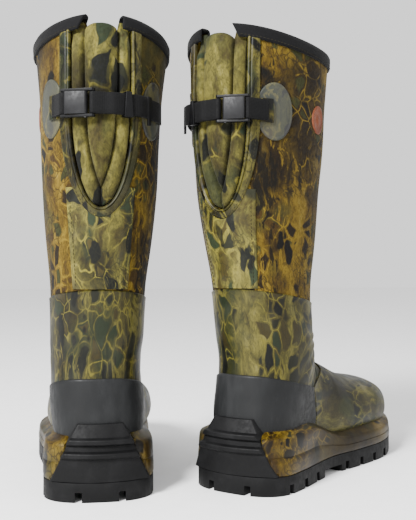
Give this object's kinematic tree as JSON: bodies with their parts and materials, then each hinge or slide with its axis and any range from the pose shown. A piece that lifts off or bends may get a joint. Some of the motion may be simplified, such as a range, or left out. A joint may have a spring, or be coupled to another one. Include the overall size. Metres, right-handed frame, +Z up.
{
  "type": "insulated hunting boots",
  "caption": "Pair of tall insulated rubber boots with camouflage shafts, rear bellows gussets, cam-lever straps, heel guards and lugged soles.",
  "frame": {"origin": "centre of the pair's footprint box, on the ground", "axes": "+Z up; +Y from the left boot's heel to its toe; +X from the left boot towards the right boot"},
  "size_m": [0.4084, 0.3474, 0.4389],
  "materials": {
    "camo_fabric": "printed knit over neoprene, warm brown leaf camouflage",
    "camo_gusset": "printed stretch fabric, olive leaf camouflage",
    "binding_tape": "black knitted binding tape",
    "lining": "brushed dark lining",
    "insulation": "closed-cell foam insulation",
    "footbed": "felt-topped foam footbed",
    "camo_rubber": "hand-laid rubber, olive camouflage, satin",
    "camo_band": "rubber band, olive camouflage, satin",
    "patch_rubber": "grey-green rubber patch, satin",
    "vamp_rubber": "thick rubber, dark olive camouflage, satin",
    "guard_rubber": "smooth dark grey rubber",
    "tread_rubber": "matte black rubber",
    "camo_sidewall": "moulded rubber, brown camouflage, satin",
    "midsole_foam": "grey moulded foam",
    "shank_steel": "plain spring steel",
    "webbing": "black woven webbing",
    "black_plastic": "matte black moulded plastic",
    "grey_plastic": "mid-grey moulded plastic",
    "pin_steel": "plain steel pin",
    "badge_enamel": "plain round moulded badge, dull red"
  },
  "bodies": {
    "left_boot": {"left_shaft": "camo_fabric", "left_gusset": "camo_gusset", "left_top_binding": "binding_tape", "left_lining": "lining", "left_inner_bootie": "insulation", "left_insole": "footbed", "left_rubber_bootie": "camo_rubber", "left_gusset_frame": "camo_band", "left_rear_spine": "camo_band", "left_medial_patch": "patch_rubber", "left_lateral_patch": "patch_rubber", "left_anchor_tab": "camo_band", "left_vamp_overlay": "vamp_rubber", "left_heel_guard": "guard_rubber", "left_kick_tab": "tread_rubber", "left_outsole": "tread_rubber", "left_rand": "camo_sidewall", "left_midsole": "midsole_foam", "left_shank": "shank_steel", "left_strap": "webbing", "left_anchor_loop": "webbing", "left_strap_tip": "black_plastic", "left_buckle_frame": "black_plastic", "left_buckle_pin": "pin_steel", "left_badge": "badge_enamel"},
    "left_lever": {"left_buckle_lever": "grey_plastic"},
    "left_keeper": {"left_strap_keeper": "black_plastic"},
    "right_boot": {"right_shaft": "camo_fabric", "right_gusset": "camo_gusset", "right_top_binding": "binding_tape", "right_lining": "lining", "right_inner_bootie": "insulation", "right_insole": "footbed", "right_rubber_bootie": "camo_rubber", "right_gusset_frame": "camo_band", "right_rear_spine": "camo_band", "right_medial_patch": "patch_rubber", "right_lateral_patch": "patch_rubber", "right_anchor_tab": "camo_band", "right_vamp_overlay": "vamp_rubber", "right_heel_guard": "guard_rubber", "right_kick_tab": "tread_rubber", "right_outsole": "tread_rubber", "right_rand": "camo_sidewall", "right_midsole": "midsole_foam", "right_shank": "shank_steel", "right_strap": "webbing", "right_anchor_loop": "webbing", "right_strap_tip": "black_plastic", "right_buckle_frame": "black_plastic", "right_buckle_pin": "pin_steel", "right_badge": "badge_enamel"},
    "right_lever": {"right_buckle_lever": "grey_plastic"},
    "right_keeper": {"right_strap_keeper": "black_plastic"}
  },
  "joints": [
    {"name": "left_lever_hinge", "type": "hinge", "parent": "left_boot", "child": "left_lever", "pos_m": [-0.15391, -0.16898, 0.358], "axis": [0, 0, 1], "range_deg": [0, 85]},
    {"name": "left_keeper_slide", "type": "slide", "parent": "left_boot", "child": "left_keeper", "axis": [0.898, 0.44, 0], "range_m": [-0.008, 0.008]},
    {"name": "right_lever_hinge", "type": "hinge", "parent": "right_boot", "child": "right_lever", "pos_m": [-0.02757, -0.15741, 0.358], "axis": [0, 0, -1], "range_deg": [0, 85]},
    {"name": "right_keeper_slide", "type": "slide", "parent": "right_boot", "child": "right_keeper", "axis": [-0.373, 0.9278, 0], "range_m": [-0.008, 0.008]},
    {"name": "right_boot_lift", "type": "slide", "parent": "left_boot", "child": "right_boot", "axis": [0, 0, 1], "range_m": [0, 0.3]}
  ]
}
